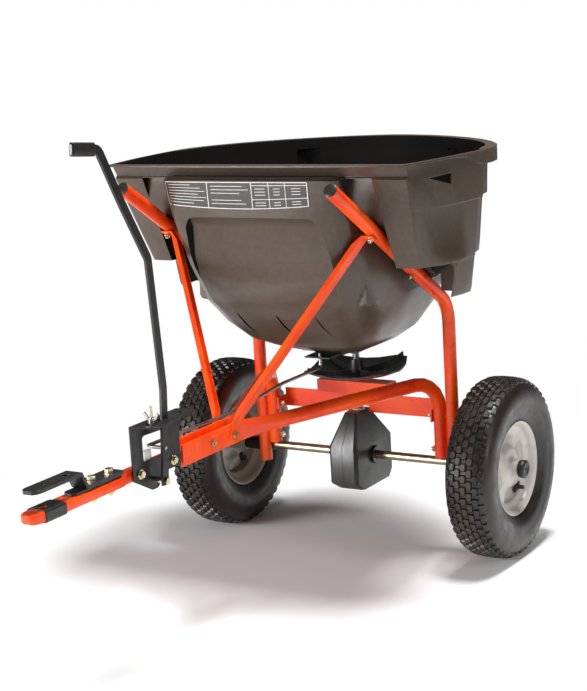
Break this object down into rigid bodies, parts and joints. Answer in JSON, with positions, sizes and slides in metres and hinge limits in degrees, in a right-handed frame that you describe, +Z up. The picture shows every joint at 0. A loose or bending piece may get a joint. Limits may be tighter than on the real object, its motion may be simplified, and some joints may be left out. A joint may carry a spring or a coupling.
{
  "type": "tow-behind broadcast spreader",
  "caption": "Tow-behind broadcast spreader: dark plastic hopper with rolled rim on an orange tube frame, two pneumatic wheels, spinner disc, flow lever and clevis hitch",
  "frame": {"origin": "on the ground, under the middle of the bounding box", "axes": "+Z up, the tongue points along -Y, the hopper's back along +Y, +X to the right wheel, the axle parallel to X"},
  "size_m": [0.6806, 1.154, 0.8361],
  "materials": {
    "orange_paint": "glossy powder coat",
    "black_steel": "satin black coat",
    "zinc_steel": "yellowish zinc plate",
    "black_plastic": "fine grained black plastic",
    "grey_steel": "bare grey steel",
    "white_nylon": "smooth nylon",
    "hopper_plastic": "satin moulded plastic",
    "tyre_rubber": "matt rubber with a knobby tread",
    "grey_rim": "light grey enamel"
  },
  "bodies": {
    "frame": {"support_tube_right": "orange_paint", "support_tube_left": "orange_paint", "drawbar_right": "orange_paint", "drawbar_left": "orange_paint", "brace_right": "orange_paint", "brace_left": "orange_paint", "crossbar": "orange_paint", "tongue": "orange_paint", "hitch_strap": "black_steel", "hitch_pad": "black_steel", "control_bracket": "black_steel", "hopper_bottom_plate": "black_steel", "axle_bush_right": "black_steel", "axle_bush_left": "black_steel", "lever_pivot_bolt": "zinc_steel", "bracket_bolt_front": "zinc_steel", "bracket_bolt_rear": "zinc_steel", "joint_bolt_front": "zinc_steel", "joint_bolt_rear": "zinc_steel", "hitch_bolt_front": "zinc_steel", "hitch_bolt_rear": "zinc_steel", "frame_bolt_upper_right": "zinc_steel", "frame_bolt_upper_left": "zinc_steel", "frame_bolt_lower_right": "zinc_steel", "frame_bolt_lower_left": "zinc_steel", "brace_bolt_right": "zinc_steel", "brace_bolt_left": "zinc_steel", "hopper_bolt_right": "zinc_steel", "hopper_bolt_left": "zinc_steel", "tube_plug_right": "black_plastic", "tube_plug_left": "black_plastic", "tongue_sleeve": "black_plastic", "gear_housing_right": "black_plastic", "gear_housing_left": "black_plastic", "nylon_spacer": "white_nylon", "shaft_bush_upper": "white_nylon", "shaft_bush_lower": "white_nylon", "hopper": "hopper_plastic"},
    "axle": {"axle": "zinc_steel", "drive_gear": "grey_steel", "drive_pin": "grey_steel", "tyre_right": "tyre_rubber", "rim_right": "grey_rim", "valve_stem_right": "black_plastic", "hub_cap_right": "black_plastic", "hub_cap_left": "black_plastic"},
    "left_wheel": {"tyre_left": "tyre_rubber", "rim_left": "grey_rim", "valve_stem_left": "black_plastic"},
    "spinner": {"spinner_shaft": "grey_steel", "pinion_gear": "grey_steel", "impeller": "black_plastic", "agitator": "grey_steel"},
    "lever": {"flow_lever": "black_steel", "lever_grip": "black_plastic"},
    "rod": {"flow_rod": "grey_steel"},
    "gate": {"rate_gate": "black_steel"},
    "stop": {"stop_bolt": "zinc_steel", "wing_nut": "grey_steel"}
  },
  "joints": [
    {"name": "axle_spin", "type": "hinge", "parent": "frame", "child": "axle", "pos_m": [0, 0.38, 0.165], "axis": [1, 0, 0], "continuous": true},
    {"name": "left_wheel_spin", "type": "hinge", "parent": "axle", "child": "left_wheel", "pos_m": [-0.291, 0.38, 0.165], "axis": [1, 0, 0], "continuous": true},
    {"name": "spinner_spin", "type": "hinge", "parent": "frame", "child": "spinner", "pos_m": [0, 0.38, 0.3165], "axis": [0, 0, 1], "continuous": true},
    {"name": "lever_swing", "type": "hinge", "parent": "frame", "child": "lever", "pos_m": [0.0338, -0.2895, 0.299], "axis": [-1, 0, 0], "range_deg": [0, 18]},
    {"name": "rod_turn", "type": "hinge", "parent": "lever", "child": "rod", "pos_m": [0.0338, -0.285, 0.35], "axis": [-1, 0, 0], "range_deg": [-18, 0]},
    {"name": "gate_slide", "type": "slide", "parent": "frame", "child": "gate", "axis": [0, 1, 0], "range_m": [0, 0.0156]},
    {"name": "stop_slide", "type": "slide", "parent": "frame", "child": "stop", "axis": [0, 1, 0], "range_m": [-0.013, 0.0165]}
  ],
  "couplings": [
    {"joint": "spinner_spin", "follows": "axle_spin", "ratio": -4},
    {"joint": "rod_turn", "follows": "lever_swing", "ratio": -1},
    {"joint": "gate_slide", "follows": "lever_swing", "m_per_rad": 0.0495}
  ]
}
